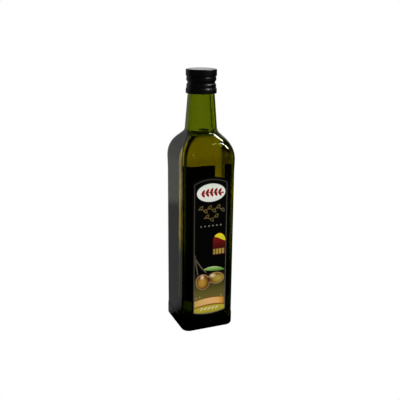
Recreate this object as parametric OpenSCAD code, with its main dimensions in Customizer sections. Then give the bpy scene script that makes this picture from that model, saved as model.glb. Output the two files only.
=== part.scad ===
// Square green glass bottle of olive oil, shut with a black screw cap.
// The front face looks along -Y. The origin is the middle of the underside.

/* [Body] */
// Width across the bands at the foot and under the shoulder
body_w = 58; // [50:1:72]
// Height at which the shoulder starts
body_h = 184; // [150:1:225]
// Radius of the four upright corners, seen from above
corner_r = 8.7; // [7:0.1:11]
// Radius of the edge that runs round the foot
heel_r = 2.8; // [1.5:0.1:4]

/* [Label panel] */
// How far the panel for the labels lies behind the bands
panel_depth = 0.4; // [0.2:0.05:0.8]
// Height at which the panel starts
panel_bottom = 13; // [8:0.5:20]
// Distance from the end of the panel up to the shoulder
panel_top_band = 5; // [3:0.5:12]
// Height of the slope at each end of the panel
panel_ramp = 2.5; // [1:0.5:5]

/* [Shoulder] */
// Rise of the dome over the body
dome_rise = 30; // [24:0.5:40]
// Reach of the dome inwards from the side
dome_run = 24; // [20:0.5:26]
// Size of the hollow blend from the dome into the neck
dome_blend = 4.4; // [2:0.1:8]
// How long the corners stay square on the way up
corner_hold = 5; // [2:0.5:8]

/* [Neck] */
// Diameter at the foot of the neck, at the top of the dome
neck_base_d = 33.2; // [30:0.2:38]
// Length of the neck that shows, from the top of the dome to the finish
neck_h = 38; // [25:0.5:60]

/* [Finish] */
// Height of the ground finish that the cap closes on
finish_h = 20.6; // [17:0.2:26]
// Diameter of the finish
finish_d = 27; // [25:0.1:28]
// How far the top of the neck stands out past the finish
neck_step = 0.05; // [0.05:0.05:1]
// How far the locking ring, which holds the cap's lower band, stands out past the finish
lock_out = 1.4; // [0.8:0.1:2]
// Height of the locking ring
lock_h = 3; // [2:0.5:4]

/* [Glass] */
// Thickness of the glass in the walls
wall_t = 3.5; // [2.4:0.1:4.2]
// Thickness of the glass in the floor
floor_t = 7; // [5:0.5:10]
// Radius of the inner edge round the floor
floor_r = 3.5; // [1.5:0.1:5]
// Depth of the hollow under the floor
punt_depth = 2; // [1:0.1:3]
// Width of the flat ring that the bottle stands on, along its sides
bearing_w = 6.2; // [3:0.2:10]

/* [Oil] */
// Distance from the top of the dome down to the oil
oil_drop = 7; // [3:0.5:30]

/* [Cap] */
// Thickness of the cap's wall outside the locking ring
cap_wall = 0.7; // [0.5:0.05:1.2]
// How far the cap reaches down past the finish, over the neck
cap_skirt = 1.8; // [0:0.1:4]
// Thickness of the cap's top, with its liner
cap_top_t = 1.6; // [1.2:0.1:2.5]
// Radius of the cap's top edge
cap_edge_r = 1.2; // [0.6:0.1:1.8]
// Height of the plain upper band of the cap
cap_band_h = 6.6; // [5:0.2:8]
// Depth of the deep groove above the lower band
cap_groove = 1.6; // [1:0.1:1.8]
// Gap between the cap and the finish
cap_gap = 0.15; // [0.1:0.05:0.25]

/* [Labels] */
// Distance from the sides of both labels to the rounded corners
label_margin = 0.3; // [0.1:0.1:8]
// Thickness of both labels
label_t = 0.15; // [0.1:0.05:0.3]
// Height at which the front label's two lower corners lie
label_bottom = 18.6; // [16:0.2:40]
// Distance from the peak of the front label up to the end of the panel
label_head = 9.6; // [3:0.2:50]
// Rise of the front label's arched top
label_arch = 4.4; // [1:0.2:8]
// Drop of the front label's curved foot
label_dip = 2.8; // [0.5:0.1:5]
// Height at which the back label starts
back_bottom = 17; // [16:0.5:40]
// Distance from the back label up to the end of the panel
back_head = 6.6; // [3:0.5:60]

/* [Hidden] */

corner_steps = 10;        // facets in each rounded corner of the shoulder
dome_steps = 18;          // rings in the dome
round_fn = 96;
cut = 1;                  // how far a cutting shape stands clear
flat_min = 0.05;          // half of the flat that is left between corners on the round neck
seam = 0.05;              // how far the dome's facets stay inside the body's true curves

dome_top = body_h + dome_rise;
neck_top = dome_top + neck_h;
glass_top = neck_top + finish_h;
cap_top = glass_top + cap_top_t;
cap_h = finish_h + cap_top_t + cap_skirt;
cap_bottom = cap_top - cap_h;
oil_level = dome_top - oil_drop;
panel_top = body_h - panel_top_band;
panel_face = body_w / 2 - panel_depth;
neck_top_d = finish_d + 2 * neck_step;
lock_d = finish_d + 2 * lock_out;
cap_d = lock_d + 2 * (cap_gap + cap_wall);
bore_r = neck_top_d / 2 - wall_t;
punt_d = body_w - 2 * (heel_r + bearing_w);
label_w = body_w - 2 * (corner_r + label_margin);
label_h = panel_top - label_head - label_arch - label_bottom;
back_h = panel_top - back_head - back_bottom;

// The larger of two lengths, with a smooth blend of the size given.
function blended_max(a, b, size) =
    let (near = max(size - abs(a - b), 0) / size) max(a, b) + near * near * size / 4;

// Radius of the neck's cone at a height, less the glass when inside.
function neck_r(z, inset) =
    let (t = (z - dome_top) / neck_h)
    (neck_base_d + (neck_top_d - neck_base_d) * t) / 2 - inset;

// Half width of the dome: a quarter ellipse from the side wall inwards.
function dome_w(z, inset) =
    let (s = min(max((z - body_h) / (dome_rise - inset), 0), 1))
    body_w / 2 - dome_run + (dome_run - inset) * sqrt(1 - s * s);

// Half width and corner radius of the level section at a height.
function section_w(z, inset) = blended_max(dome_w(z, inset), neck_r(z, inset), dome_blend);
function section_r(z, inset) =
    let (w = section_w(z, inset), t = min(max((z - body_h) / dome_rise, 0), 1))
    corner_r - inset + (w - corner_r + inset) * pow(t, corner_hold);

// Points of a level square with round corners.
function ring(w, r, z) = [
    for (k = [0:3], i = [0:corner_steps])
        let (a = 90 * (k + i / corner_steps), sx = k == 0 || k == 3 ? 1 : -1, sy = k < 2 ? 1 : -1)
        [sx * max(w - r, flat_min) + r * cos(a), sy * max(w - r, flat_min) + r * sin(a), z]
];

// Heights of the rings, closer together towards the top of the dome.
function loft_heights(top, inset) =
    let (dome_end = min(dome_top, top), a_end = asin(min((dome_end - body_h) / dome_rise, 1)))
    concat([for (i = [0:dome_steps]) body_h + dome_rise * sin(a_end * i / dome_steps)],
           top > dome_top ? [dome_top + 2, top] : []);

module loft(top, inset) {
    heights = loft_heights(top, inset);
    n = 4 * (corner_steps + 1);
    last = len(heights) - 1;
    points = [for (z = heights) each ring(section_w(z, inset) - seam, section_r(z, inset) - seam, z)];
    sides = [for (j = [0:last - 1], i = [0:n - 1])
        let (a = j * n + i, b = j * n + (i + 1) % n) [a, a + n, b + n, b]];
    polyhedron(points, concat(sides, [[for (i = [0:n - 1]) i], [for (i = [n - 1:-1:0]) last * n + i]]),
        convexity = 4);
}

// Upright wall seen in section, from the square core outwards, with a round foot.
module wall_section(reach, foot_r, bottom, top) {
    flat = reach - foot_r;
    translate([0, bottom + foot_r]) square([reach, top - bottom - foot_r]);
    translate([0, bottom]) square([flat, 2 * foot_r]);
    translate([flat, bottom + foot_r]) intersection() {
        circle(foot_r, $fn = round_fn);
        translate([0, -foot_r]) square(foot_r);
    }
}

// Carries a wall section round a square core whose half side is given.
module round_square_core(core, bottom, top) {
    for (k = [0:3]) rotate(90 * k) translate([core, core, 0]) {
        rotate_extrude(angle = 90, $fn = round_fn) children();
        rotate([90, 0, 0]) linear_extrude(2 * core) children();
    }
    translate([-core, -core, bottom]) cube([2 * core, 2 * core, top - bottom]);
}

module panel_cut() {
    ramp_end = corner_r - panel_depth;
    polygon([[corner_r + cut, panel_bottom], [corner_r, panel_bottom],
        [ramp_end, panel_bottom + panel_ramp], [ramp_end, panel_top - panel_ramp],
        [corner_r, panel_top], [corner_r + cut, panel_top]]);
}

// The space inside the glass, from the floor up to a height.
module inside(top) {
    reach = corner_r - wall_t;
    round_square_core(body_w / 2 - corner_r, floor_t, body_h)
        wall_section(reach, min(floor_r, reach - 0.2), floor_t, body_h);
    loft(top, wall_t);
}

module finish() {
    translate([0, 0, neck_top]) cylinder(h = finish_h, d = finish_d, $fn = round_fn);
    translate([0, 0, neck_top]) cylinder(h = lock_h, d1 = lock_d - 2, d2 = lock_d, $fn = round_fn);
}

module punt() {
    rise_r = (punt_d * punt_d / 4 + punt_depth * punt_depth) / (2 * punt_depth);
    translate([0, 0, punt_depth - rise_r]) sphere(rise_r, $fn = round_fn);
}

module bottle() {
    color("#3b4a08") difference() {
        union() {
            round_square_core(body_w / 2 - corner_r, 0, body_h) difference() {
                wall_section(corner_r, heel_r, 0, body_h);
                panel_cut();
            }
            loft(neck_top, 0);
            finish();
        }
        inside(neck_top - wall_t);
        translate([0, 0, neck_top - wall_t - cut])
            cylinder(h = finish_h + wall_t + 2 * cut, r = bore_r, $fn = round_fn);
        punt();
    }
}

module oil() {
    color("#6a5a02") inside(oil_level);
}

// Half section of the cap, from its axis outwards.
module cap_section() {
    r = cap_d / 2;
    waist_r = r - 0.6;
    groove_r = r - cap_groove;
    waist_top = cap_top - cap_band_h;
    groove_z = cap_bottom + 10.2;
    flare_z = cap_bottom + 5.4;
    foot_z = cap_bottom + 4;
    difference() {
        union() {
            translate([0, waist_top + 0.6]) square([r, cap_band_h - 0.6 - cap_edge_r]);
            translate([0, waist_top]) square([r - cap_edge_r, cap_band_h]);
            translate([r - cap_edge_r, cap_top - cap_edge_r]) circle(cap_edge_r, $fn = round_fn);
            polygon([[0, foot_z], [r, foot_z], [waist_r, flare_z], [waist_r, waist_top], [r, waist_top + 0.6],
                [0, waist_top + 0.6]]);
            translate([0, cap_bottom + 1]) square([r, foot_z - cap_bottom - 1]);
            translate([0, cap_bottom]) square([r - 1, 2]);
            translate([r - 1, cap_bottom + 1]) circle(1, $fn = round_fn);
        }
        translate([waist_r + 0.6, groove_z]) circle(cap_groove, $fn = round_fn);
    }
}

module cap() {
    seat_z = neck_top + lock_h + cap_gap;
    color("#0b0b0c") difference() {
        rotate_extrude($fn = round_fn) cap_section();
        translate([0, 0, cap_bottom - cut])
            cylinder(h = seat_z - cap_bottom + cut, r = lock_d / 2 + cap_gap, $fn = round_fn);
        translate([0, 0, seat_z - cut])
            cylinder(h = glass_top - seat_z + cut, r = finish_d / 2 + cap_gap, $fn = round_fn);
    }
}

// Segment of a circle standing on a chord of the width given.
module bow(width, rise) {
    r = (width * width / 4 + rise * rise) / (2 * rise);
    intersection() {
        translate([0, rise - r]) circle(r, $fn = 4 * round_fn);
        translate([-width / 2, 0]) square([width, rise + cut]);
    }
}

module front_label() {
    color("#0a0a0a") translate([0, -panel_face, label_bottom]) rotate([90, 0, 0]) linear_extrude(label_t) {
        translate([-label_w / 2, 0]) square([label_w, label_h]);
        translate([0, label_h]) bow(label_w, label_arch);
        mirror([0, 1]) bow(label_w, label_dip);
    }
}

module back_label() {
    color("#0a0a0a") translate([-label_w / 2, panel_face, back_bottom]) cube([label_w, label_t, back_h]);
}

bottle();
oil();
cap();
front_label();
back_label();
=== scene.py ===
import bpy
import bmesh
import numpy as np
from mathutils import Matrix, Vector


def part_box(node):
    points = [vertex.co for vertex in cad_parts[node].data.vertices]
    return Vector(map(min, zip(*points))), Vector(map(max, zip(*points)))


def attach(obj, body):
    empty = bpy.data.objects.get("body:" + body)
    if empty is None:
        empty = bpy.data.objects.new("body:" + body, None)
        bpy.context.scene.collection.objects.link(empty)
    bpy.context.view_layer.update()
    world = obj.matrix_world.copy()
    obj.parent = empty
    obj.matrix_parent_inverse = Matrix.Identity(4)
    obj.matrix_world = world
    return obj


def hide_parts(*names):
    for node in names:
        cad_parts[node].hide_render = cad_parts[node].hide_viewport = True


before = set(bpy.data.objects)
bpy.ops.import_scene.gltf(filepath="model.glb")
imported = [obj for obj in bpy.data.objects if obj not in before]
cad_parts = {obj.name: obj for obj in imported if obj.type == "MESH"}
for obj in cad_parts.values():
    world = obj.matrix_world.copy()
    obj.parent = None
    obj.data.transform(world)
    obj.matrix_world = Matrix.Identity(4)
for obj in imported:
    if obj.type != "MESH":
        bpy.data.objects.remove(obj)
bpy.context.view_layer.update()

mm = 0.001  # shapes are worked out in millimetres and put into the meshes in metres
pi = np.pi


def boxMm(node):
    # Lowest and highest corner of a CAD node in millimetres.
    low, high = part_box(node)
    return np.array(low) / mm, np.array(high) / mm


def linear(hexCode):
    # An sRGB hex colour as linear RGBA.
    c = np.array([int(hexCode[i:i + 2], 16) for i in (1, 3, 5)]) / 255
    c = np.where(c <= 0.04045, c / 12.92, ((c + 0.055) / 1.055) ** 2.4)
    return (float(c[0]), float(c[1]), float(c[2]), 1.0)


def addNode(tree, kind, inputs=None, **settings):
    # Adds a node, sets its properties, and gives its inputs a value or a link.
    node = tree.nodes.new(kind)
    for name, value in settings.items():
        setattr(node, name, value)
    for name, value in (inputs or {}).items():
        if isinstance(value, bpy.types.NodeSocket):
            tree.links.new(value, node.inputs[name])
        else:
            node.inputs[name].default_value = value
    return node


def setStops(ramp, stops):
    # Gives a Color Ramp its (place, hex colour) stops.
    items = ramp.color_ramp.elements
    while len(items) < len(stops):
        items.new(0.5)
    for item, (place, hexCode) in zip(items, stops):
        item.position = place
        item.color = linear(hexCode)
    return ramp


def newMaterial(name):
    # A node material with a Principled shader: (material, tree, shader).
    material = bpy.data.materials.new(name)
    material.use_nodes = True
    tree = material.node_tree
    tree.nodes.clear()
    shader = addNode(tree, "ShaderNodeBsdfPrincipled")
    addNode(tree, "ShaderNodeOutputMaterial", {"Surface": shader.outputs[0]})
    return material, tree, shader


def smoothStep(t):
    # 0 below 0, 1 above 1, and 3t^2 - 2t^3 between.
    t = np.clip(t, 0, 1)
    return t * t * (3 - 2 * t)


def buildObject(name, points, faces, material, smooth=True, replaces=None):
    # Points in mm and faces become a piece with outward normals that rides on the only body.
    mesh = bpy.data.meshes.new(name)
    mesh.from_pydata((np.asarray(points) * mm).tolist(), [], faces)
    work = bmesh.new()
    work.from_mesh(mesh)
    bmesh.ops.remove_doubles(work, verts=work.verts, dist=1e-6)
    bmesh.ops.dissolve_degenerate(work, edges=work.edges, dist=5e-7)
    bmesh.ops.recalc_face_normals(work, faces=work.faces)
    work.to_mesh(mesh)
    work.free()
    mesh.polygons.foreach_set("use_smooth", [smooth] * len(mesh.polygons))
    mesh.materials.append(material)
    piece = bpy.data.objects.new(name, mesh)
    bpy.context.scene.collection.objects.link(piece)
    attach(piece, "root")
    if replaces:
        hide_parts(replaces)
    return piece


def squareFrame(cornerSteps, sideSteps):
    # Unit description of a level rounded square: a point is (halfWidth - radius) * S + radius * N.
    # S is the corner of a unit square, or a place on its side, and N the outward normal.
    squareParts, normalParts = [], []
    signs = np.array([[1, 1], [-1, 1], [-1, -1], [1, -1]], float)
    for k in range(4):
        a = (k + np.arange(cornerSteps + 1) / cornerSteps) * pi / 2
        squareParts.append(np.repeat(signs[k:k + 1], cornerSteps + 1, 0))
        normalParts.append(np.c_[np.cos(a), np.sin(a)])
        t = (np.arange(sideSteps - 1) + 1)[:, None] / sideSteps
        squareParts.append(signs[k] * (1 - t) + signs[(k + 1) % 4] * t)
        normalParts.append(np.repeat([[np.cos(a[-1]), np.sin(a[-1])]], sideSteps - 1, 0))
    return np.vstack(squareParts), np.vstack(normalParts)


def squareLoft(path, cornerSteps=20, sideSteps=14):
    # Closed skin through level rounded squares. path rows are half width, corner radius, height;
    # its first and last rows are closed by a pole in their middle.
    corner, normal = squareFrame(cornerSteps, sideSteps)
    w, r, z = (path[:, i][:, None, None] for i in range(3))
    level = (w - r) * corner[None] + r * normal[None]
    rings = np.concatenate([level, np.broadcast_to(z, level.shape[:2] + (1,))], 2)
    return closedRings(rings)


def closedRings(rings):
    # Points and faces of a skin through rings of equal length, closed by a pole at each end.
    m, n = rings.shape[:2]
    points = np.vstack([rings.reshape(-1, 3), rings[0].mean(0), rings[-1].mean(0)])
    i = np.arange(n)
    j = np.arange(m - 1)[:, None] * n
    quads = np.stack([j + i, j + (i + 1) % n, j + n + (i + 1) % n, j + n + i], 2).reshape(-1, 4)
    first = np.c_[np.full(n, m * n), (i + 1) % n, i]
    last = np.c_[np.full(n, m * n + 1), (m - 1) * n + i, (m - 1) * n + (i + 1) % n]
    return points, quads.tolist() + first.tolist() + last.tolist()


def revolve(profile, steps=144):
    # Closed skin of revolution through rows of radius and height, from axis to axis.
    a = np.arange(steps) / steps * 2 * pi
    r, z = profile[:, 0][:, None], profile[:, 1][:, None]
    rings = np.stack([r * np.cos(a), r * np.sin(a), np.broadcast_to(z, (len(profile), steps))], 2)
    return closedRings(rings)


def roundedPath(corners, stepDeg=9):
    # A path through (x, z, fillet radius) corners, each rounded by an arc tangent to both its sides.
    c = np.array(corners, float)
    path = [c[0, :2]]
    for before, here, after, radius in zip(c[:-2, :2], c[1:-1, :2], c[2:, :2], c[1:-1, 2]):
        u, v = before - here, after - here
        lu, lv = np.linalg.norm(u), np.linalg.norm(v)
        u, v = u / lu, v / lv
        half = np.arccos(np.clip(u @ v, -1, 1)) / 2
        if radius <= 0 or half > pi / 2 - 0.01:
            path.append(here)
            continue
        reach = min(radius / np.tan(half), 0.49 * lu, 0.49 * lv)
        radius = reach * np.tan(half)
        bisector = (u + v) / np.linalg.norm(u + v)
        centre = here + bisector * radius / np.sin(half)
        start, end = here + u * reach - centre, here + v * reach - centre
        turn = pi - 2 * half
        k = max(int(np.ceil(np.degrees(turn) / stepDeg)), 2)
        t = np.arange(k + 1)[:, None] / k
        path.extend(centre + (np.sin((1 - t) * turn) * start + np.sin(t * turn) * end) / np.sin(turn))
    path.append(c[-1, :2])
    return np.array(path)


camera = dict(
    place=(-240.1, -590.2, 325.4),  # mm, where the lens stands
    turn=22.12,  # degrees round the bottle from straight in front
    tilt=16.46,  # degrees looking down
    roll=0.53,  # degrees
    lens=56.3,  # mm, on a sensor 36 mm wide
)


def addCamera(spec):
    # Looks level along +Y, is turned and tilted, and last rolled about its own axis.
    data = bpy.data.cameras.new("studio_camera")
    data.sensor_width = 36
    data.lens = spec["lens"]
    data.clip_start = 0.02
    item = bpy.data.objects.new("studio_camera", data)
    turn = Matrix.Rotation(-np.radians(spec["turn"]), 4, "Z")
    tilt = Matrix.Rotation(np.radians(90 - spec["tilt"]), 4, "X")
    roll = Matrix.Rotation(np.radians(spec["roll"]), 4, "Z")
    item.matrix_world = Matrix.Translation(Vector(spec["place"]) * mm) @ turn @ tilt @ roll
    bpy.context.scene.collection.objects.link(item)
    bpy.context.scene.camera = item


addCamera(camera)
print("camera placed")

bottleLow, bottleHigh = boxMm("bottle")
oilLow, oilHigh = boxMm("oil")
capLow, capHigh = boxMm("cap")

glass = dict(
    halfWidth=bottleHigh[0],  # over the bands
    cornerR=8.7,
    heelR=2.8,
    bodyH=184.0,
    panelDepth=0.4,
    panelBottom=13.0,
    panelTop=184.0,
    ramp=2.5,
    topRamp=14.5,  # the panel fades out slowly below the shoulder
    domeRise=30.0,
    domeRun=24.0,
    domeBlend=4.4,
    cornerHold=5.0,
    neckBaseR=16.6,
    neckTopR=13.55,
    neckH=38.0,
    lockH=3.0,
    lockR=14.9,
    finishR=13.5,
    wall=3.5,
    floorT=oilLow[2],
    floorR=3.5,
    puntDepth=2.0,
    puntR=20.0,
    top=bottleHigh[2],
)
domeTop = glass["bodyH"] + glass["domeRise"]
neckTop = domeTop + glass["neckH"]


def blendedMax(a, b, size):
    # The larger of two arrays, rounded where they cross.
    near = np.maximum(size - np.abs(a - b), 0) / size
    return np.maximum(a, b) + near * near * size / 4


def sectionAt(z, inset):
    # Half width and corner radius of the glass at a height: straight wall, elliptical dome, cone neck.
    g = glass
    s = np.clip((z - g["bodyH"]) / (g["domeRise"] - inset), 0, 1)
    dome = g["halfWidth"] - g["domeRun"] + (g["domeRun"] - inset) * np.sqrt(1 - s * s)
    neck = g["neckBaseR"] + (g["neckTopR"] - g["neckBaseR"]) * (z - domeTop) / g["neckH"] - inset
    w = blendedMax(dome, neck, g["domeBlend"])
    t = np.clip((z - g["bodyH"]) / g["domeRise"], 0, 1) ** g["cornerHold"]
    r = g["cornerR"] - inset + (w - g["cornerR"] + inset) * t
    return w, np.minimum(r, w)


def panelDip(z):
    # How far the label panel lies behind the bands at a height.
    g = glass
    rise = smoothStep((z - g["panelBottom"]) / g["ramp"])
    fall = smoothStep((g["panelTop"] - z) / g["topRamp"])
    return g["panelDepth"] * rise * fall


def domeHeights(steps):
    # Heights up the dome, spaced evenly round its quarter ellipse.
    return glass["bodyH"] + glass["domeRise"] * np.sin(np.linspace(0, pi / 2, steps))


def outerPath():
    # Outside of the glass from the middle of the underside to the rim.
    g = glass
    rho = np.linspace(0.5, g["puntR"], 14)
    punt = np.c_[rho, rho, g["puntDepth"] * (1 - (rho / g["puntR"]) ** 2) ** 1.2]
    flatW, flatR = g["halfWidth"] - g["heelR"], g["cornerR"] - g["heelR"]
    t = np.linspace(0, 1, 6)[1:, None]
    bearing = np.c_[g["puntR"] + (flatW - g["puntR"]) * t, g["puntR"] + (flatR - g["puntR"]) * t, 0 * t]
    a = np.linspace(0, pi / 2, 10)[1:]
    heel = np.c_[flatW + g["heelR"] * np.sin(a), flatR + g["heelR"] * np.sin(a), g["heelR"] * (1 - np.cos(a))]
    z = np.r_[np.linspace(g["heelR"], g["panelBottom"], 5)[1:],
              g["panelBottom"] + np.linspace(0, g["ramp"], 8)[1:],
              np.linspace(g["panelBottom"] + g["ramp"], g["bodyH"] - g["topRamp"], 24)[1:],
              g["bodyH"] - g["topRamp"] + np.linspace(0, g["topRamp"], 14)[1:]]
    dip = panelDip(z)
    side = np.c_[g["halfWidth"] - dip, g["cornerR"] - dip, z]
    z = np.r_[domeHeights(48)[1:], np.linspace(domeTop, neckTop, 30)[1:]]
    w, r = sectionAt(z, 0.0)
    dome = np.c_[w, r, z]
    ring = roundedPath([(g["neckTopR"], neckTop, 0), (g["neckTopR"], neckTop + 0.4, 0.3),
                        (g["lockR"], neckTop + 1.4, 0.5), (g["lockR"], neckTop + g["lockH"], 0.5),
                        (g["finishR"], neckTop + g["lockH"], 0.4), (g["finishR"], g["top"], 1.0),
                        (g["neckTopR"] - g["wall"], g["top"], 1.0),
                        (g["neckTopR"] - g["wall"], neckTop, 0)])[1:]
    finish = np.c_[ring[:, 0], ring[:, 0], ring[:, 1]]
    return np.vstack([punt, bearing, heel, side, dome, finish])


def innerPath(top, swell=0.0, neckSteps=30):
    # Inside of the glass from the middle of the floor up to a height. swell grows it into the glass.
    g = glass
    inset = g["wall"]
    w0, r0 = g["halfWidth"] - inset, g["cornerR"] - inset
    t = np.linspace(0.03, 1, 10)[:, None]
    floorW, floorR = w0 - g["floorR"], r0 - g["floorR"]
    floor = np.c_[floorW * t, floorR * t, np.full_like(t, g["floorT"])]
    a = np.linspace(0, pi / 2, 12)[1:]
    edge = np.c_[floorW + g["floorR"] * np.sin(a), floorR + g["floorR"] * np.sin(a),
                 g["floorT"] + g["floorR"] * (1 - np.cos(a))]
    z = np.linspace(g["floorT"] + g["floorR"], g["bodyH"], 40)[1:]
    side = np.c_[np.full_like(z, w0), np.full_like(z, r0), z]
    z = domeHeights(48)[1:]
    if top > domeTop:
        z = np.r_[z, np.linspace(domeTop, top, neckSteps)[1:]]
    else:
        z = np.r_[z[z < top - 0.05], top]
    w, r = sectionAt(z, inset)
    path = np.vstack([floor, edge, side, np.c_[w, r, z]])
    path[:, 0] += swell
    path[:, 1] += swell
    path[:len(floor), 2] -= swell
    return path


# Soda-lime bottle glass, mould blown: clear but dark olive green through its depth, fire-polished
# outside, a little uneven where the mould chilled it.
greenGlass = dict(
    ior=1.52,
    absorb=(0.718, 0.758, 0.18),  # what one unit of depth leaves of red, green and blue
    density=1000.0,  # per metre
    waveMm=9.0,  # spacing of the mould's ripple
    wave=0.05,
)


def glassMaterial():
    g = greenGlass
    material, tree, shader = newMaterial("mould_blown_green_glass")
    place = addNode(tree, "ShaderNodeTexCoord")
    ripple = addNode(tree, "ShaderNodeTexNoise", {
        "Vector": place.outputs["Object"], "Scale": 1 / (g["waveMm"] * mm), "Detail": 2.0,
        "Roughness": 0.45})
    bump = addNode(tree, "ShaderNodeBump", {
        "Height": ripple.outputs[0], "Strength": g["wave"], "Distance": 0.002})
    shader.inputs["Base Color"].default_value = linear("#FFFFFF")
    shader.inputs["Roughness"].default_value = 0.015
    shader.inputs["IOR"].default_value = g["ior"]
    shader.inputs["Transmission Weight"].default_value = 1.0
    tree.links.new(bump.outputs[0], shader.inputs["Normal"])
    volume = addNode(tree, "ShaderNodeVolumeAbsorption", {
        "Color": (*g["absorb"], 1.0), "Density": g["density"]})
    output = next(n for n in tree.nodes if n.type == "OUTPUT_MATERIAL")
    tree.links.new(volume.outputs[0], output.inputs["Volume"])
    return material


# Olive oil, filtered: bright, gold to the eye and brown-green in the depth of the bottle.
oliveOil = dict(
    ior=1.47,
    absorb=(0.995, 0.89, 0.1),
    density=95.0,
    meniscus=1.1,  # mm that the oil climbs at the glass
    meniscusReach=2.2,  # mm over which it flattens
    swell=0.15,  # mm that the oil reaches into the glass, so that no air shows between
)


def oilMaterial():
    o = oliveOil
    material, tree, shader = newMaterial("filtered_olive_oil")
    shader.inputs["Base Color"].default_value = linear("#FFFFFF")
    shader.inputs["Roughness"].default_value = 0.0
    shader.inputs["IOR"].default_value = o["ior"]
    shader.inputs["Transmission Weight"].default_value = 1.0
    volume = addNode(tree, "ShaderNodeVolumeAbsorption", {
        "Color": (*o["absorb"], 1.0), "Density": o["density"]})
    output = next(n for n in tree.nodes if n.type == "OUTPUT_MATERIAL")
    tree.links.new(volume.outputs[0], output.inputs["Volume"])
    return material


def makeBottle():
    outer = outerPath()
    inner = innerPath(neckTop)[::-1]
    points, faces = squareLoft(np.vstack([outer, inner]))
    buildObject("bottle_glass", points, faces, glassMaterial(), replaces="bottle")


def makeOil():
    # The oil fills the inside up to its level and climbs a little at the glass.
    o = oliveOil
    level = oilHigh[2]
    wall = innerPath(level + o["meniscus"], o["swell"])
    w, r, top = wall[-1]
    reach = np.linspace(0, 1, 16)[1:] ** 1.6 * (w - 0.8)
    shrink = (w - reach) / w
    surface = np.c_[w - reach, r * shrink, level + o["meniscus"] * np.exp(-reach / o["meniscusReach"])]
    points, faces = squareLoft(np.vstack([wall, surface]))
    buildObject("olive_oil", points, faces, oilMaterial(), replaces="oil")


makeBottle()
makeOil()
print("glass and oil made")

capShape = dict(
    radius=(capHigh[0] - capLow[0]) / 2,
    edge=1.2,
    bandH=6.6,
    waist=0.6,
    bore=13.65,
    skirtBore=15.05,
)


def capProfile():
    # Half section of the cap from its axis on top, down the outside and up the bore.
    c = capShape
    r, top, foot = c["radius"], capHigh[2], capLow[2]
    waist = r - c["waist"]
    return roundedPath([
        (0.3, top - 0.25, 0), (r - 3.2, top - 0.25, 0.5), (r - 2.4, top, 0.5), (r, top, c["edge"]),
        (r, top - c["bandH"], 0.35), (waist - 0.35, top - c["bandH"] - 0.45, 0.35),
        (waist - 0.35, top - c["bandH"] - 1.1, 0.3),
        (waist, top - c["bandH"] - 1.7, 0.4), (waist, top - c["bandH"] - 4.6, 0.7),
        (r - 1.75, top - c["bandH"] - 6.1, 0.5), (r - 1.75, top - c["bandH"] - 7.4, 0.5),
        (waist - 0.1, top - c["bandH"] - 8.6, 0.7), (waist - 0.15, foot + 5.6, 0.6),
        (r, foot + 4.2, 0.9), (r, foot, 1.1), (c["skirtBore"], foot, 0.2),
        (c["skirtBore"], foot + 5.15, 0.1), (c["bore"], foot + 5.15, 0.1),
        (c["bore"], bottleHigh[2], 0.1), (0.3, bottleHigh[2], 0)])


# Rolled aluminium with a gloss black stoving lacquer: mirror-dark, with the faint orange peel
# of a sprayed coat and a duller rub in patches.
capLacquer = dict(
    colour="#040405", roughness=0.16, peelMm=1.6, peel=0.005,
    side=("rolled_black_lacquered_aluminium", 0.75, 0.34),  # name, strength and roughness of the clear coat
    disc=("pressed_black_lacquered_aluminium", 1.0, 0.2),
)


def lacquerMaterial(name, coat, coatRoughness):
    c = capLacquer
    material, tree, shader = newMaterial(name)
    place = addNode(tree, "ShaderNodeTexCoord")
    peel = addNode(tree, "ShaderNodeTexNoise", {
        "Vector": place.outputs["Object"], "Scale": 1 / (c["peelMm"] * mm), "Detail": 2.0})
    bump = addNode(tree, "ShaderNodeBump", {
        "Height": peel.outputs[0], "Strength": c["peel"], "Distance": 0.0002})
    smear = addNode(tree, "ShaderNodeTexNoise", {
        "Vector": place.outputs["Object"], "Scale": 1 / (6 * mm), "Detail": 4.0})
    rough = addNode(tree, "ShaderNodeMapRange", {
        "Value": smear.outputs[0], "From Min": 0.35, "From Max": 0.7,
        "To Min": c["roughness"], "To Max": c["roughness"] + 0.14})
    shader.inputs["Base Color"].default_value = linear(c["colour"])
    shader.inputs["Coat Weight"].default_value = coat
    shader.inputs["Coat Roughness"].default_value = coatRoughness
    shader.inputs["Specular IOR Level"].default_value = 0.0
    tree.links.new(rough.outputs[0], shader.inputs["Roughness"])
    tree.links.new(bump.outputs[0], shader.inputs["Normal"])
    return material


def makeCap():
    # The flat top is smoother than the rolled side, so it has a lacquer of its own.
    points, faces = revolve(capProfile())
    cap = buildObject("screw_cap", points, faces, lacquerMaterial(*capLacquer["side"]),
                      replaces="cap")
    cap.data.materials.append(lacquerMaterial(*capLacquer["disc"]))
    places = np.empty(len(cap.data.polygons) * 3)
    normals = np.empty(len(cap.data.polygons) * 3)
    cap.data.polygons.foreach_get("center", places)
    cap.data.polygons.foreach_get("normal", normals)
    onTop = (places.reshape(-1, 3)[:, 2] > (capHigh[2] - 1.5) * mm) & (normals.reshape(-1, 3)[:, 2] > 0.8)
    cap.data.polygons.foreach_set("material_index", onTop.astype(np.int32))


makeCap()
print("cap made")

frontLow, frontHigh = boxMm("front_label")
backLow, backHigh = boxMm("back_label")
ink = dict(lift=0.03, sink=0.03)  # mm that print stands over the paper, and reaches into it


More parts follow.
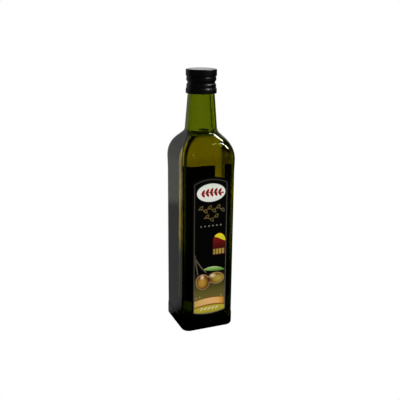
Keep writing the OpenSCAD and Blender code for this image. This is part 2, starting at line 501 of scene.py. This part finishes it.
def bandSolid(upper, lower, front, back, closed=False, columns=2):
    # A thin solid between two lines of (x, z) points: across at depth y = front, and back to y = back.
    # Depths are given from the bottle's middle outwards; the caller turns them to the face.
    n = len(upper)
    t = np.arange(columns) / (columns - 1)
    flat = upper[:, None] * (1 - t)[None, :, None] + lower[:, None] * t[None, :, None]
    faceSide = np.concatenate([flat, np.full((n, columns, 1), front)], 2)
    backSide = np.concatenate([flat[:, [-1, 0]], np.full((n, 2, 1), back)], 2)
    rows = np.concatenate([faceSide, backSide], 1)
    k = rows.shape[1]
    i = np.arange(n if closed else n - 1)[:, None]
    j = np.arange(k)[None]
    quads = np.stack([i * k + j, i * k + (j + 1) % k, (i + 1) % n * k + (j + 1) % k, (i + 1) % n * k + j],
                     2).reshape(-1, 4).tolist()
    if not closed:
        quads += [list(range(k - 1, -1, -1)), [(n - 1) * k + q for q in range(k)]]
    return rows.reshape(-1, 3), quads


def joinSolids(parts):
    # Several (points, faces) as one.
    points, faces, shift = [], [], 0
    for p, f in parts:
        points.append(p)
        faces += [[q + shift for q in face] for face in f]
        shift += len(p)
    return np.vstack(points), faces


def onFace(points, side):
    # Turns (x, z, depth) points to a face: side -1 is the front at -Y, side +1 the back at +Y.
    return np.c_[points[:, 0] * -side, points[:, 2] * side, points[:, 1]]


def ellipse(centre, radii, tilt=0.0, steps=40):
    # Upper and lower half of an ellipse as two lines with shared ends. tilt is in degrees.
    a = np.linspace(0, pi, steps)
    c, s = np.cos(np.radians(tilt)), np.sin(np.radians(tilt))
    turn = np.array([[c, s], [-s, c]])
    upper = np.c_[-radii[0] * np.cos(a), radii[1] * np.sin(a)] @ turn + centre
    lower = np.c_[-radii[0] * np.cos(a), -radii[1] * np.sin(a)] @ turn + centre
    return upper, lower


def leaf(base, tip, width, bend=0.0, steps=28, fullness=0.8):
    # A pointed leaf from base to tip: both edges swell as a sine, on a spine bent by a parabola.
    base, tip = np.array(base, float), np.array(tip, float)
    along = tip - base
    across = np.array([-along[1], along[0]]) / np.linalg.norm(along)
    t = np.linspace(0, 1, steps)[:, None]
    spine = base + along * t + across * bend * 4 * t * (1 - t)
    half = width / 2 * np.sin(pi * t) ** fullness
    return spine + across * half, spine - across * half


def stroke(line, width):
    # Both sides of a line of even width, or of the widths given for each point.
    step = np.gradient(line, axis=0)
    step /= np.linalg.norm(step, axis=1)[:, None]
    across = np.c_[-step[:, 1], step[:, 0]] * np.reshape(width, (-1, 1)) / 2
    return line + across, line - across


def loopStroke(line, width):
    # Both sides of a closed line.
    step = np.roll(line, -1, 0) - np.roll(line, 1, 0)
    step /= np.linalg.norm(step, axis=1)[:, None]
    across = np.c_[-step[:, 1], step[:, 0]] * width / 2
    return line + across, line - across


def leafLoop(base, tip, width, bend=0.0):
    upper, lower = leaf(base, tip, width, bend, 20)
    return np.vstack([upper, lower[-2:0:-1]])


labelPrint = dict(
    frameHalf=17.8,  # half width of the thin frame
    frameFoot=21.2,  # height of its lower corners
    frameDip=2.7,
    frameHead=162.4,
    frameArch=4.2,
    frameLine=0.75,
)


def frameLoop(grow=0.0):
    # The frame of the front label: straight sides, arched head and bowed foot, as one closed line.
    p = labelPrint
    half, foot, head = p["frameHalf"] + grow, p["frameFoot"] - grow, p["frameHead"] + grow
    x = np.linspace(-half, half, 41)
    bow = 1 - (x / half) ** 2
    z = np.linspace(foot, head, 60)
    return np.vstack([np.c_[x, foot - p["frameDip"] * bow], np.c_[np.full(58, half), z[1:-1]],
                      np.c_[x[::-1], head + p["frameArch"] * bow[::-1]],
                      np.c_[np.full(58, -half), z[::-1][1:-1]]])


def frameFootAt(x, grow=0.0):
    p = labelPrint
    return p["frameFoot"] - p["frameDip"] * (1 - (x / p["frameHalf"]) ** 2) + grow


# Coated label paper, offset printed in black and varnished: deep black, a soft sheen, the fine
# tooth of the paper under it.
def paperMaterial(name, colour, roughness=0.42, specular=0.15):
    material, tree, shader = newMaterial(name)
    place = addNode(tree, "ShaderNodeTexCoord")
    tooth = addNode(tree, "ShaderNodeTexNoise", {
        "Vector": place.outputs["Object"], "Scale": 1 / (0.35 * mm), "Detail": 3.0})
    tone = addNode(tree, "ShaderNodeMix", {
        0: tooth.outputs[0], 6: linear(colour),
        7: tuple(c * 1.5 + 0.0002 for c in linear(colour)[:3]) + (1.0,)}, data_type="RGBA")
    bump = addNode(tree, "ShaderNodeBump", {
        "Height": tooth.outputs[0], "Strength": 0.12, "Distance": 0.00005})
    tree.links.new(tone.outputs[2], shader.inputs["Base Color"])
    tree.links.new(bump.outputs[0], shader.inputs["Normal"])
    shader.inputs["Roughness"].default_value = roughness
    shader.inputs["Specular IOR Level"].default_value = specular
    return material


def gumFaces(piece, side):
    # The gummed side of a paper is wetted by its glue, so it has no shine of its own under the glass.
    gummed = bpy.data.materials.get("gummed_black_paper") or paperMaterial(
        "gummed_black_paper", "#030303", 0.9, 0.0)
    piece.data.materials.append(gummed)
    normals = np.empty(len(piece.data.polygons) * 3)
    piece.data.polygons.foreach_get("normal", normals)
    inside = (normals.reshape(-1, 3)[:, 1] * side < -0.5).astype(np.int32)
    piece.data.polygons.foreach_set("material_index", inside)


def inkMaterial(name, stops, span, axis="Z", roughness=0.4, grain=0.25):
    # Print whose colour runs over a span of millimetres along X or Z, with a fine screen grain.
    material, tree, shader = newMaterial(name)
    place = addNode(tree, "ShaderNodeTexCoord")
    split = addNode(tree, "ShaderNodeSeparateXYZ", {0: place.outputs["Object"]})
    run = addNode(tree, "ShaderNodeMapRange", {
        "Value": split.outputs[axis], "From Min": span[0] * mm, "From Max": span[1] * mm})
    ramp = setStops(addNode(tree, "ShaderNodeValToRGB", {0: run.outputs[0]}), stops)
    screen = addNode(tree, "ShaderNodeTexNoise", {
        "Vector": place.outputs["Object"], "Scale": 1 / (0.8 * mm), "Detail": 3.0})
    shade = addNode(tree, "ShaderNodeMapRange", {
        "Value": screen.outputs[0], "From Min": 0.3, "From Max": 0.7,
        "To Min": 1 - grain, "To Max": 1 + grain})
    colour = addNode(tree, "ShaderNodeVectorMath", {0: ramp.outputs[0], 3: shade.outputs[0]},
                     operation="SCALE")
    tree.links.new(colour.outputs[0], shader.inputs["Base Color"])
    shader.inputs["Roughness"].default_value = roughness
    shader.inputs["Specular IOR Level"].default_value = 0.1
    return material


def printPiece(name, bands, material, layer, side=-1, loops=()):
    # Shapes of one ink as one piece. layer counts the inks under it, so that none lie in one plane.
    paper = -frontLow[1] if side < 0 else backHigh[1]
    front, back = paper + ink["lift"] * layer, paper - ink["sink"]
    parts = [bandSolid(u, v, front, back) for u, v in bands]
    parts += [bandSolid(u, v, front, back, closed=True) for u, v in loops]
    points, faces = joinSolids(parts)
    return buildObject(name, onFace(points, side), faces, material, smooth=False)


def makeLabelPapers():
    # Front paper with an arched head and bowed foot, back paper a plain rectangle with round corners.
    into = 0.06  # mm that the gummed side lies in the glass, so that no air shows behind it
    half = frontHigh[0]
    arch, dip, corner = 4.4, 2.8, 1.2
    foot, head = frontLow[2] + dip, frontHigh[2] - arch
    x = half * np.sin(np.linspace(-pi / 2, pi / 2, 61))
    bow = 1 - (x / half) ** 2
    inset = corner * (1 - np.sqrt(1 - np.clip((np.abs(x) - half + corner) / corner, 0, 1) ** 2))
    upper = np.c_[x, head + arch * bow - inset]
    lower = np.c_[x, foot - dip * bow + inset]
    points, faces = bandSolid(upper, lower, -frontLow[1], -frontHigh[1] - into, columns=12)
    front = buildObject("front_label_paper", onFace(points, -1), faces,
                        paperMaterial("varnished_black_label_paper", "#010101"), smooth=False,
                        replaces="front_label")
    gumFaces(front, -1)
    half, corner = backHigh[0], 1.5
    x = half * np.sin(np.linspace(-pi / 2, pi / 2, 61))
    inset = corner * (1 - np.sqrt(1 - np.clip((np.abs(x) - half + corner) / corner, 0, 1) ** 2))
    upper = np.c_[x, backHigh[2] - inset]
    lower = np.c_[x, backLow[2] + inset]
    points, faces = bandSolid(upper, lower, backHigh[1], backLow[1] - into, columns=12)
    back = buildObject("back_label_paper", onFace(points, 1), faces,
                       paperMaterial("black_back_label_paper", "#050505"), smooth=False,
                       replaces="back_label")
    gumFaces(back, 1)


def makeFrame():
    line = frameLoop()
    material = inkMaterial("bronze_line_ink", [(0, "#6A6852"), (0.35, "#4B4A3C"), (1, "#45403C")],
                           (20, 166), roughness=0.35)
    printPiece("label_frame_line", [], material, 5, loops=[loopStroke(line, labelPrint["frameLine"])])


badge = dict(centre=(0.4, 152.8), radii=(15.6, 9.6))


def makeBadge():
    # A cream oval with a crimson sprig: a stem with pairs of leaves and one at its tip.
    cream = inkMaterial("cream_ink", [(0, "#D8DAD2"), (0.5, "#E6E6DC"), (1, "#D2D8C8")],
                        (143, 163), grain=0.03)
    crimson = inkMaterial("crimson_ink", [(0, "#9A1414"), (1, "#7E0E0C")], (-15, 16), "X", grain=0.15)
    centre = np.array(badge["centre"])
    printPiece("badge_oval", [ellipse(centre, badge["radii"], steps=64)], cream, 1)
    t = np.linspace(-1, 1, 30)
    stem = np.c_[t * 11.8, 1.0 * np.cos(t * 1.6) - 0.6] + centre
    bands = [stroke(stem, 0.9 * (1 - 0.5 * t ** 2))]
    for k in range(5):
        root = centre + (-10.6 + k * 4.6, 1.0 * np.cos((-0.9 + k * 0.39) * 1.6) - 0.6)
        for up in (1, -1):
            bands.append(leaf(root, root + (3.3, up * (4.7 - 0.3 * abs(k - 2))), 2.9, up * -0.5))
    bands.append(leaf(centre + (11.0, -0.6), centre + (14.2, -0.9), 1.9))
    printPiece("badge_sprig", bands, crimson, 2)


def makeOrnament():
    # Two vines with leaves on either side, drawn in fine gold line, and a row of small pale dots.
    gold = inkMaterial("gold_line_ink", [(0, "#7C745E"), (0.3, "#8C7440"), (0.55, "#7A6A2E"),
                                         (0.8, "#8A7A44"), (1, "#6E6858")], (-16, 16), "X", roughness=0.35)
    pale = inkMaterial("pale_ink", [(0, "#77776A"), (1, "#8A8A80")], (-12, 12), "X")
    bands, loops = [], []
    for height, half, count in ((135.4, 14.4, 6), (125.8, 7.8, 3)):
        x = np.linspace(-half, half, 80)
        bands.append(stroke(np.c_[x + 0.3, height + 0.7 * np.sin(pi * count * (x / half + 1) / 2)], 0.4))
        for k in range(count):
            up = 1 - 2 * (k % 2)
            foot = np.array([half * (2 * (k + 0.3) / count - 1) + 0.3, height + 0.6 * up])
            loops.append(loopStroke(leafLoop(foot, foot + (3.9, 3.1 * up), 2.6, -0.5 * up), 0.5))
    printPiece("gold_garland", bands, gold, 1, loops=loops)
    bands = []
    for k in range(6):
        bands.append(ellipse((-10.4 + k * 4.4, 117.4), (0.8, 0.8), steps=20))
    printPiece("pale_dots", bands, pale, 1)


def makeSun():
    # A low sun: a red disc, a yellow slice over its upper part and a row of gold bars below.
    red = inkMaterial("red_ink", [(0, "#300303"), (0.45, "#5A0404"), (1, "#8E0808")], (89, 108), grain=0.1)
    yellow = inkMaterial("yellow_ink", [(0, "#D9A93A"), (0.35, "#CFC21A"), (0.8, "#D8CC1E"), (1, "#DCCB62")],
                         (97, 110), grain=0.06)
    gold = inkMaterial("gold_bar_ink", [(0, "#8A7030"), (0.5, "#A48A38"), (1, "#947A36")], (3, 17), "X")
    middle, half, foot, head, spring = 10.1, 7.2, 84.3, 108.6, 99.0
    x = middle - half * np.cos(np.linspace(0, pi, 41))
    arch = spring + (head - spring) * np.sqrt(np.clip(1 - ((x - middle) / half) ** 2, 0, 1))
    printPiece("sun_disc", [(np.c_[x, arch], np.c_[x, np.full_like(x, foot)])], red, 1)
    a = np.linspace(0, 1, 40)
    x = 4.6 + 12.6 * a
    arc = spring + (head - 0.5 - spring) * np.sqrt(np.clip(1 - ((x - middle) / half) ** 2, 0, 1))
    dip = arc[0] + (99.4 - arc[0]) * a + 1.6 * np.sin(pi * a) * (0.6 - a)
    printPiece("sun_slice", [(np.c_[x, arc], np.c_[x, np.minimum(dip, arc - 0.05)])], yellow, 2)
    bands = []
    for k in range(4):
        x0 = 3.4 + k * 3.35
        bands.append((np.array([[x0, 91.2], [x0 + 2.6, 91.4]]), np.array([[x0, 85.2], [x0 + 2.6, 85.4]])))
    printPiece("sun_bars", bands, gold, 3)


def makeSprig():
    # Two olives, their stems and a leaf.
    stemInk = inkMaterial("taupe_ink", [(0, "#655A46"), (1, "#4A4236")], (62, 88))
    leafInk = inkMaterial("leaf_green_ink", [(0, "#3E5C18"), (0.35, "#5E8A36"), (0.7, "#83AC5A"),
                                             (1, "#A9C285")], (65.5, 71.8), grain=0.12)
    t = np.linspace(0, 1, 30)[:, None]
    curves = []
    for start, bend, end in (((-17.2, 87), (-15.6, 76), (-13.6, 64.5)),
                             ((-16.6, 84), (-11.5, 73), (-4.0, 66.0))):
        line = (1 - t) ** 2 * np.array(start) + 2 * t * (1 - t) * np.array(bend) + t ** 2 * np.array(end)
        curves.append(stroke(line, 1.05 + 0.5 * (1 - t[:, 0])))
    printPiece("olive_stems", curves, stemInk, 2)
    printPiece("olive_leaf", [leaf((-7.6, 69.6), (17.0, 66.9), 5.0, 1.1, 40, 0.75)], leafInk, 2)


olives = (
    dict(name="left_olive", centre=(-8.0, 55.6), radii=(8.0, 8.9), tilt=12, shine=(-8.6, 61.2),
         shineRadii=(2.4, 3.4), heart=(-8.6, 55.0),
         skin=("#AE8A34", "#A27A26", "#7A4814", "#54230C")),
    dict(name="right_olive", centre=(7.3, 58.4), radii=(9.3, 6.7), tilt=-6, shine=(3.0, 61.8),
         shineRadii=(4.2, 2.8), heart=(9.2, 57.8),
         skin=("#A8923E", "#9C8430", "#7E5E1C", "#5A3410")),
)


def oliveMaterial(o):
    # Olive skin in print: a golden heart that turns red-brown towards the edge, with a soft pale shine.
    material, tree, shader = newMaterial(o["name"] + "_ink")
    place = addNode(tree, "ShaderNodeTexCoord")

    def reach(centre, radii):
        # Distance from a centre, counted in the radii given.
        scale = (1 / (radii[0] * mm), 0.0, 1 / (radii[1] * mm))
        shift = (-centre[0] * mm * scale[0], 0.0, -centre[1] * mm * scale[2])
        there = addNode(tree, "ShaderNodeMapping", {
            "Vector": place.outputs["Object"], "Scale": scale, "Location": shift})
        span = addNode(tree, "ShaderNodeVectorMath", {0: there.outputs[0]}, operation="LENGTH")
        return span.outputs["Value"]

    skin = setStops(addNode(tree, "ShaderNodeValToRGB", {0: reach(o["heart"], o["radii"])}),
                    list(zip((0.0, 0.42, 0.72, 0.95), o["skin"])))
    glow = addNode(tree, "ShaderNodeMapRange", {
        "Value": reach(o["shine"], o["shineRadii"]), "From Min": 0.25, "From Max": 1.15,
        "To Min": 0.9, "To Max": 0.0})
    tone = addNode(tree, "ShaderNodeMix", {
        0: glow.outputs[0], 6: skin.outputs[0], 7: linear("#DCC8A0")}, data_type="RGBA")
    tree.links.new(tone.outputs[2], shader.inputs["Base Color"])
    shader.inputs["Roughness"].default_value = 0.4
    shader.inputs["Specular IOR Level"].default_value = 0.1
    return material


def makeOlives():
    rimInk = inkMaterial("olive_rim_ink", [(0, "#7E6E44"), (1, "#A87C52")], (45, 68))
    rims = []
    for o in olives:
        rims.append(ellipse(o["centre"], o["radii"], o["tilt"], 56))
        inner = tuple(r - 1.0 for r in o["radii"])
        printPiece(o["name"], [ellipse(o["centre"], inner, o["tilt"], 56)], oliveMaterial(o), 4)
    printPiece("olive_rims", rims, rimInk, 3)


def makeFoot():
    # The lower part of the print: an olive-brown glow, a tan ribbon and a gold field with pale sprigs.
    p = labelPrint
    half = p["frameHalf"] - 0.5
    x = np.linspace(-half, half, 50)
    lean = x / half
    ribbonTop = 36.6 - 1.9 * lean ** 2 + 0.2 * lean
    ribbonFoot = ribbonTop - 7.6
    glow = inkMaterial("olive_glow_ink", [(0, "#6A5E26"), (0.3, "#5C5322"), (0.62, "#3A360E"),
                                          (1, "#050502")], (34, 66), grain=0.12)
    printPiece("olive_glow", [(np.c_[x, np.full_like(x, 66.0)], np.c_[x, ribbonTop - 1])], glow, 1)
    tan = inkMaterial("tan_ribbon_ink", [(0, "#B89A48"), (0.2, "#CFA862"), (0.5, "#DCAA6C"), (0.8, "#D9A65A"),
                                         (0.93, "#C98C30"), (1, "#8A5A22")], (-half, half), "X", grain=0.08)
    edge = inkMaterial("ribbon_edge_ink", [(0, "#7E5A10"), (1, "#8A5214")], (-half, half), "X")
    printPiece("tan_ribbon", [(np.c_[x, ribbonTop], np.c_[x, ribbonFoot])], tan, 2)
    edges = [(np.c_[x, ribbonFoot + 0.3], np.c_[x, ribbonFoot - 1.1]),
             (np.c_[x, ribbonTop + 0.5], np.c_[x, ribbonTop - 0.2])]
    printPiece("ribbon_edges", edges, edge, 3)
    gold = inkMaterial("gold_field_ink", [(0, "#8C8030"), (0.3, "#A79A24"), (0.7, "#B0A030"), (1, "#A08C20")],
                       (18, 29), grain=0.15)
    printPiece("gold_field", [(np.c_[x, ribbonFoot], np.c_[x, frameFootAt(x, 0.5)])], gold, 1)
    pale = inkMaterial("pale_gold_ink", [(0, "#CFC08C"), (0.5, "#D2CE96"), (1, "#C8C078")],
                       (-half, half), "X")
    bands = []
    for k in range(5):
        at = np.array([-8.8 + k * 4.3, 24.0])
        bands.append(leaf(at + (-2.0, -1.6), at + (2.0, 1.8), 1.9, 0.3))
    printPiece("gold_field_sprigs", bands, pale, 4)
    spark = inkMaterial("spark_ink", [(0, "#9A9270"), (1, "#A89C78")], (-half, half), "X")
    dots = [ellipse(at, (0.75, 0.75), steps=14) for at in ((-15.2, 37.8), (-11.2, 38.6), (13.4, 37.6))]
    printPiece("ribbon_sparks", dots, spark, 3)


def rule(left, right, top, foot):
    # A plain upright rectangle as an upper and a lower line.
    return np.array([[left, top], [right, top]]), np.array([[left, foot], [right, foot]])


def makeBackPrint():
    # The back label: a thin frame, a sprig at its head and plain rules and blocks.
    line = inkMaterial("back_line_ink", [(0, "#5E5C4C"), (1, "#4A463E")], (17, 170), roughness=0.35)
    pale = inkMaterial("back_pale_ink", [(0, "#8C8A7C"), (1, "#9A9888")], (17, 170))
    gold = inkMaterial("back_gold_ink", [(0, "#8C7840"), (1, "#9A8A50")], (-16, 16), "X")
    half, foot, head = 17.8, backLow[2] + 2.4, backHigh[2] - 2.4
    x = np.linspace(-half, half, 21)
    z = np.linspace(foot, head, 60)
    loop = np.vstack([np.c_[x, np.full(21, foot)], np.c_[np.full(58, half), z[1:-1]],
                      np.c_[x[::-1], np.full(21, head)], np.c_[np.full(58, -half), z[::-1][1:-1]]])
    printPiece("back_frame_line", [], line, 1, side=1, loops=[loopStroke(loop, 0.6)])
    bands = [stroke(np.c_[np.linspace(-11, 11, 20), 156 + 1.2 * np.cos(np.linspace(-1.5, 1.5, 20))], 0.6)]
    for k in range(-3, 4):
        root = np.array([k * 3.1, 156 + 1.2 * np.cos(k * 0.42)])
        for up in (1, -1):
            bands.append(leaf(root, root + (1.8, up * 4.4), 1.9, up * -0.3))
    printPiece("back_sprig", bands, gold, 1, side=1)
    bands = []
    for k in range(9):  # plain rules of uneven length
        z0, reach = 142 - k * 4.2, 13.5 - (k % 3) * 2.1
        bands.append(rule(-14, reach, z0 + 0.5, z0 - 0.5))
    for k in range(8):  # a table of plain rules
        z0 = 92 - k * 5.2
        for x0, x1 in ((-14, 2), (6, 14)):
            bands.append(rule(x0, x1, z0 + 0.45, z0 - 0.45))
    bands.append(rule(-14, 14, 44, 26))
    printPiece("back_rules", bands, pale, 1, side=1)


makeLabelPapers()
makeFrame()
makeBadge()
makeOrnament()
makeSun()
makeSprig()
makeOlives()
makeFoot()
makeBackPrint()
print("labels made")

studio = dict(
    floorSize=12.0,  # m
    aimHeight=190.0,  # mm, where the lamps point
    floorTone="#F4F4F2",
    edge=0.47,  # m from the bottle where the near, dark part of the floor ends
    near=0.16,  # what the bottle mirrors of the floor close by and further off
    far=0.33,
    side=-30.0,  # degrees to the left of straight behind where the mirrored surroundings are brightest
    spread=32.0,  # degrees from there to where they are black
    shade=0.85,  # how much darker the near floor on that side looks through the glass
    foot=0.2,  # m from the bottle within which the floor, seen through the glass, is dark: a painted shadow
    # screens seen through the glass: compass direction, half widths outside and inside, brightness
    screens=((188.0, 84.0, 74.0, 0.03), (46.0, 8.0, 4.0, 0.05), (59.0, 7.0, 4.0, 2.8)),
    card=0.4,  # the least brightness of the floor on the side of the last screen, through the glass
    shadowTint="#78A860",  # colour of the painted shadow on the floor near the foot, through the glass: green, as light through green glass
    fade=0.08,  # m over which that painted dark green shadow turns white
    backdrop=0.72,  # brightness of the wall behind, through the glass
    sky=(0.1, 0.35, 0.01),  # rise at which the wall starts to darken, rise where it is dark, brightness there
    mirrorBehind=(0.42, 0.78, 0.003, 0.36),  # mirrored: directions to the back, brightness from and to
    mirrorRight=(0.1, 0.3, 2.6),  # mirrored: directions to the right, and how much brighter
)


def sector(tree, place, middle, outer, inner):
    # 1 within an angle of a compass direction, 0 beyond a wider one, for a direction or a place.
    a = np.radians(middle)
    level = addNode(tree, "ShaderNodeVectorMath", {0: place, 1: (1, 1, 0)}, operation="MULTIPLY")
    unit = addNode(tree, "ShaderNodeVectorMath", {0: level.outputs[0]}, operation="NORMALIZE")
    facing = addNode(tree, "ShaderNodeVectorMath", {0: unit.outputs[0], 1: (np.sin(a), np.cos(a), 0)},
                     operation="DOT_PRODUCT")
    return addNode(tree, "ShaderNodeMapRange", {
        "Value": facing.outputs["Value"], "From Min": np.cos(np.radians(outer)),
        "From Max": np.cos(np.radians(inner))})


def lightSide(tree, place):
    # 1 towards the bright side of the mirrored surroundings, 0 away from it.
    return sector(tree, place, studio["side"], studio["spread"], studio["spread"] / 2).outputs[0]


def frontShade(tree, place):
    # How bright the screens round the bottle make a direction that is seen through the glass.
    product = 1.0
    for middle, outer, inner, level in studio["screens"]:
        shade = sector(tree, place, middle, outer, inner)
        shade.inputs["To Min"].default_value = 1.0
        shade.inputs["To Max"].default_value = level
        product = addNode(tree, "ShaderNodeMath", {0: product, 1: shade.outputs[0]},
                          operation="MULTIPLY").outputs[0]
    return product


def mirrorRay(tree):
    # 1 for a ray that was mirrored, 0 for one that came straight or through glass.
    path = addNode(tree, "ShaderNodeLightPath")
    through = addNode(tree, "ShaderNodeMath", {0: 1.0, 1: path.outputs["Is Transmission Ray"]},
                      operation="SUBTRACT")
    return path, addNode(tree, "ShaderNodeMath", {
        0: path.outputs["Is Glossy Ray"], 1: through.outputs[0]}, operation="MULTIPLY").outputs[0]


def makeFloor():
    # A white sweep. Mirrored in the bottle it is black but for one side, grey and darker close by.
    # Through the glass it shows the screens, a painted dark green shadow near the foot, and a bright card.
    s = studio
    half = s["floorSize"] / 2
    mesh = bpy.data.meshes.new("studio_floor")
    corners = [(-half, -half, 0), (half, -half, 0), (half, half, 0), (-half, half, 0)]
    mesh.from_pydata(corners, [], [(0, 1, 2, 3)])
    floor = bpy.data.objects.new("studio_floor", mesh)
    bpy.context.scene.collection.objects.link(floor)
    material, tree, shader = newMaterial("pale_paper_sweep")
    shader.inputs["Base Color"].default_value = linear(s["floorTone"])
    shader.inputs["Roughness"].default_value = 0.9
    shader.inputs["Specular IOR Level"].default_value = 0.1
    output = next(n for n in tree.nodes if n.type == "OUTPUT_MATERIAL")
    place = addNode(tree, "ShaderNodeTexCoord")
    side = lightSide(tree, place.outputs["Object"])
    reach = addNode(tree, "ShaderNodeVectorMath", {0: place.outputs["Object"]}, operation="LENGTH")
    far = addNode(tree, "ShaderNodeMapRange", {
        "Value": reach.outputs["Value"], "From Min": s["edge"] - 0.02, "From Max": s["edge"] + 0.02})
    tone = addNode(tree, "ShaderNodeMapRange", {
        "Value": far.outputs[0], "To Min": s["near"], "To Max": s["far"]})
    grey = addNode(tree, "ShaderNodeEmission", {"Strength": addNode(tree, "ShaderNodeMath", {
        0: tone.outputs[0], 1: side}, operation="MULTIPLY").outputs[0]})
    near = addNode(tree, "ShaderNodeMapRange", {
        "Value": far.outputs[0], "To Min": s["shade"], "To Max": 0.0})
    nearSide = addNode(tree, "ShaderNodeMath", {0: near.outputs[0], 1: side}, operation="MULTIPLY")
    card = sector(tree, place.outputs["Object"], *s["screens"][-1][:3])
    card.inputs["To Max"].default_value = s["card"]
    # Through the glass: a painted shadow, dark near the foot, then white, greying again far off.
    through = setStops(addNode(tree, "ShaderNodeValToRGB", {0: reach.outputs["Value"]}),
                       [(0.0, "#909090"), (s["foot"], "#A4A4A4"), (s["foot"] + s["fade"], "#FFFFFF"),
                        (0.45, "#FFFFFF"), (0.62, "#F4F4F4"), (0.74, "#DCDCDC")])
    left = addNode(tree, "ShaderNodeMath", {0: 1.0, 1: nearSide.outputs[0]}, operation="SUBTRACT")
    dim = addNode(tree, "ShaderNodeMath", {
        0: frontShade(tree, place.outputs["Object"]), 1: left.outputs[0]}, operation="MULTIPLY")
    bright = addNode(tree, "ShaderNodeMath", {0: through.outputs[0], 1: card.outputs[0]}, operation="MAXIMUM")
    glassView = addNode(tree, "ShaderNodeMath", {0: bright.outputs[0], 1: dim.outputs[0]},
                        operation="MULTIPLY")
    path, mirrored = mirrorRay(tree)
    strength = addNode(tree, "ShaderNodeMix", {
        0: path.outputs["Is Transmission Ray"], 2: 1.0, 3: glassView.outputs[0]})
    # The painted shadow near the foot is green, as under light that came through the green glass; white past
    # it.
    shadowTint = setStops(addNode(tree, "ShaderNodeValToRGB", {0: reach.outputs["Value"]}),
                    [(0.0, s["shadowTint"]), (s["foot"], s["shadowTint"]), (s["foot"] + s["fade"], "#FFFFFF")])
    tone = addNode(tree, "ShaderNodeMix", {
        0: path.outputs["Is Transmission Ray"], 6: (1, 1, 1, 1), 7: shadowTint.outputs[0]}, data_type="RGBA")
    white = addNode(tree, "ShaderNodeEmission", {"Color": tone.outputs[2], "Strength": strength.outputs[0]})
    seen = addNode(tree, "ShaderNodeMath", {
        0: path.outputs["Is Camera Ray"], 1: path.outputs["Is Transmission Ray"]}, operation="MAXIMUM")
    lit = addNode(tree, "ShaderNodeMixShader", {
        0: seen.outputs[0], 1: shader.outputs[0], 2: white.outputs[0]})
    mixed = addNode(tree, "ShaderNodeMixShader", {0: mirrored, 1: lit.outputs[0], 2: grey.outputs[0]})
    tree.links.new(mixed.outputs[0], output.inputs["Surface"])
    mesh.materials.append(material)


def makeWorld():
    # White to the camera and as light. Through the glass it is dark above and at the screens.
    # Mirrored it is bright behind, most of all to the right, and dark in front.
    skyStart, skyEnd, skyTone = studio["sky"]
    backStart, backEnd, backDark, backBright = studio["mirrorBehind"]
    rightStart, rightEnd, rightGain = studio["mirrorRight"]
    world = bpy.data.worlds.new("white_studio")
    bpy.context.scene.world = world
    world.use_nodes = True
    tree = world.node_tree
    tree.nodes.clear()
    place = addNode(tree, "ShaderNodeTexCoord")
    split = addNode(tree, "ShaderNodeSeparateXYZ", {0: place.outputs["Generated"]})
    behind = addNode(tree, "ShaderNodeMapRange", {
        "Value": split.outputs["Y"], "From Min": backStart, "From Max": backEnd,
        "To Min": backDark, "To Max": backBright})
    rightward = addNode(tree, "ShaderNodeMapRange", {
        "Value": split.outputs["X"], "From Min": rightStart, "From Max": rightEnd,
        "To Min": 1.0, "To Max": rightGain})
    tone = addNode(tree, "ShaderNodeMath", {0: behind.outputs[0], 1: rightward.outputs[0]},
                   operation="MULTIPLY")
    grey = addNode(tree, "ShaderNodeBackground", {"Color": linear("#FCFDFF"), "Strength": tone.outputs[0]})
    path = addNode(tree, "ShaderNodeLightPath")
    above = addNode(tree, "ShaderNodeMapRange", {
        "Value": split.outputs["Z"], "From Min": skyStart, "From Max": skyEnd,
        "To Min": studio["backdrop"], "To Max": skyTone})
    through = addNode(tree, "ShaderNodeMath", {
        0: frontShade(tree, place.outputs["Generated"]), 1: above.outputs[0]}, operation="MULTIPLY")
    level = addNode(tree, "ShaderNodeMix", {
        0: path.outputs["Is Transmission Ray"], 2: 1.0, 3: through.outputs[0]})
    white = addNode(tree, "ShaderNodeBackground", {"Color": (1, 1, 1, 1), "Strength": level.outputs[0]})
    path, mirrored = mirrorRay(tree)
    mixed = addNode(tree, "ShaderNodeMixShader", {0: mirrored, 1: white.outputs[0], 2: grey.outputs[0]})
    addNode(tree, "ShaderNodeOutputWorld", {"Surface": mixed.outputs[0]})


def addSoftbox(name, place, size, power):
    # A rectangular soft light, place and size in mm, that faces the upper half of the bottle.
    data = bpy.data.lights.new(name, "AREA")
    data.shape = "RECTANGLE"
    data.size, data.size_y = size[0] * mm, size[1] * mm
    data.energy = power
    lamp = bpy.data.objects.new(name, data)
    place, target = Vector(place) * mm, Vector((0, 0, studio["aimHeight"])) * mm
    lamp.location = place
    lamp.rotation_euler = (target - place).to_track_quat("-Z", "Y").to_euler()
    lamp.visible_diffuse = False
    bpy.context.scene.collection.objects.link(lamp)


makeFloor()
makeWorld()
addSoftbox("front_softbox", (618, -757, 888), (190, 380), 7.0)
addSoftbox("side_softbox", (765, -20, 1252), (420, 180), 8.0)
addSoftbox("small_softbox", (385, -1195, 520), (26, 100), 0.4)
bpy.context.scene.view_settings.view_transform = "Standard"
print("studio made")
